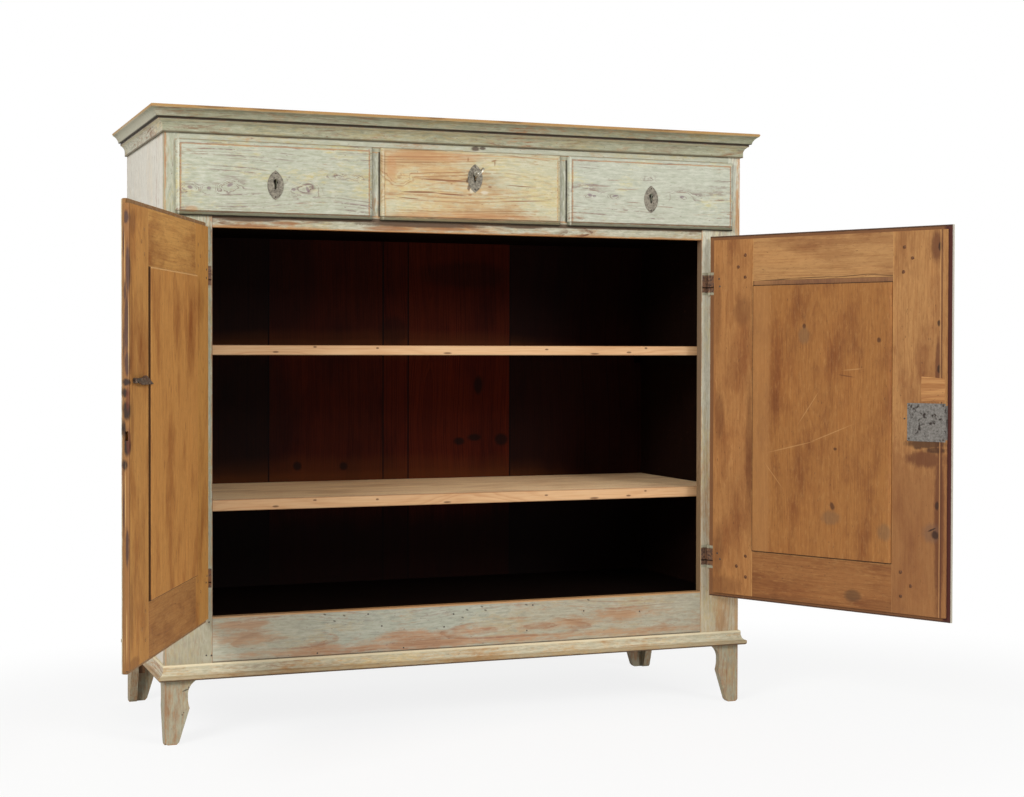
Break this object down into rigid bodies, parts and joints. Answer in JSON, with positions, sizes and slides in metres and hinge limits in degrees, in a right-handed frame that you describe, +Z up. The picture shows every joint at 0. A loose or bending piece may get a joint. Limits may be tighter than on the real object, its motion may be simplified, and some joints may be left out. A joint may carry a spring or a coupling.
{
  "type": "cupboard",
  "caption": "Painted pine cupboard: lipped drawers above framed doors on iron hinges, shelves inside, a coved top board and bracket feet.",
  "frame": {"origin": "middle of the bounding box at floor level, with the doors open as in the picture", "axes": "+X to the cupboard's right as seen from the front, +Y to the back, +Z up"},
  "size_m": [1.5862, 0.9504, 1.2205],
  "materials": {
    "painted_pine": "worn pale grey-green paint over pine",
    "bare_pine": "old unpainted pine, waxed by wear",
    "dark_pine": "dark stained pine",
    "wrought_iron": "dark forged iron",
    "worn_steel": "worn grey iron and steel"
  },
  "bodies": {
    "case": {"left_side": "painted_pine", "right_side": "painted_pine", "left_stile": "painted_pine", "right_stile": "painted_pine", "mid_rail": "painted_pine", "lower_rail": "painted_pine", "top_rail": "painted_pine", "drawer_posts": "painted_pine", "bottom_board": "dark_pine", "dust_board": "bare_pine", "upper_shelf": "bare_pine", "lower_shelf": "bare_pine", "shelf_cleats": "bare_pine", "back_boards": "dark_pine", "top_board": "painted_pine", "cornice_front": "painted_pine", "cornice_returns": "painted_pine", "base_moulding_front": "painted_pine", "base_moulding_returns": "painted_pine", "front_left_foot": "painted_pine", "front_right_foot": "painted_pine", "rear_left_foot": "painted_pine", "rear_right_foot": "painted_pine", "foot_blocks": "bare_pine", "drawer_runners": "bare_pine", "case_hinge_leaves": "wrought_iron", "hinge_pins": "wrought_iron"},
    "left_drawer": {"left_drawer_front": "painted_pine", "left_drawer_box": "bare_pine", "left_drawer_lock": "wrought_iron", "left_drawer_plate": "wrought_iron"},
    "left_drawer_bolt": {"left_drawer_bolt": "wrought_iron"},
    "middle_drawer": {"middle_drawer_front": "painted_pine", "middle_drawer_box": "bare_pine", "middle_drawer_lock": "wrought_iron", "middle_drawer_plate": "wrought_iron"},
    "middle_drawer_bolt": {"middle_drawer_bolt": "wrought_iron"},
    "right_drawer": {"right_drawer_front": "painted_pine", "right_drawer_box": "bare_pine", "right_drawer_lock": "wrought_iron", "right_drawer_plate": "wrought_iron"},
    "right_drawer_bolt": {"right_drawer_bolt": "wrought_iron"},
    "key": {"key": "worn_steel"},
    "left_door": {"left_door_hinge_stile": "bare_pine", "left_door_meeting_stile": "bare_pine", "left_door_top_rail": "bare_pine", "left_door_bottom_rail": "bare_pine", "left_door_panel": "bare_pine", "left_door_hinge_leaves": "wrought_iron", "left_door_catch_nail": "wrought_iron"},
    "left_door_catch": {"left_door_catch": "wrought_iron"},
    "right_door": {"right_door_hinge_stile": "bare_pine", "right_door_meeting_stile": "bare_pine", "right_door_top_rail": "bare_pine", "right_door_bottom_rail": "bare_pine", "right_door_panel": "bare_pine", "right_door_hinge_leaves": "wrought_iron", "right_door_lock": "worn_steel", "right_door_plate": "wrought_iron"},
    "right_door_bolt": {"right_door_bolt": "worn_steel"}
  },
  "joints": [
    {"name": "left_door_hinge", "type": "hinge", "parent": "case", "child": "left_door", "pos_m": [-0.56132, 0.02234, 0.317], "axis": [0, 0, -1], "range_deg": [-115.4, 54.6]},
    {"name": "right_door_hinge", "type": "hinge", "parent": "case", "child": "right_door", "pos_m": [0.52968, 0.02234, 0.317], "axis": [0, 0, 1], "range_deg": [-118.2, 51.8]},
    {"name": "left_drawer_slide", "type": "slide", "parent": "case", "child": "left_drawer", "axis": [0, -1, 0], "range_m": [0, 0.33]},
    {"name": "middle_drawer_slide", "type": "slide", "parent": "case", "child": "middle_drawer", "axis": [0, -1, 0], "range_m": [0, 0.33]},
    {"name": "right_drawer_slide", "type": "slide", "parent": "case", "child": "right_drawer", "axis": [0, -1, 0], "range_m": [0, 0.33]},
    {"name": "key_turn", "type": "hinge", "parent": "middle_drawer", "child": "key", "pos_m": [-0.00902, 0.01624, 1.11335], "axis": [0, 1, 0], "range_deg": [-41, 141]},
    {"name": "middle_drawer_bolt_slide", "type": "slide", "parent": "middle_drawer", "child": "middle_drawer_bolt", "axis": [0, 0, 1], "range_m": [-0.00178, 0.00622]},
    {"name": "left_drawer_bolt_slide", "type": "slide", "parent": "left_drawer", "child": "left_drawer_bolt", "axis": [0, 0, 1], "range_m": [0, 0.008]},
    {"name": "right_drawer_bolt_slide", "type": "slide", "parent": "right_drawer", "child": "right_drawer_bolt", "axis": [0, 0, 1], "range_m": [0, 0.008]},
    {"name": "right_door_bolt_slide", "type": "slide", "parent": "right_door", "child": "right_door_bolt", "axis": [0.4726, -0.8813, 0], "range_m": [0, 0.009]},
    {"name": "left_door_catch_turn", "type": "hinge", "parent": "left_door", "child": "left_door_catch", "pos_m": [-0.76813, -0.45588, 0.7073], "axis": [0.9033, -0.4289, 0], "range_deg": [-90, 90]}
  ],
  "couplings": [
    {"joint": "key_turn", "follows": "middle_drawer_bolt_slide", "rad_per_m": 392.7}
  ]
}
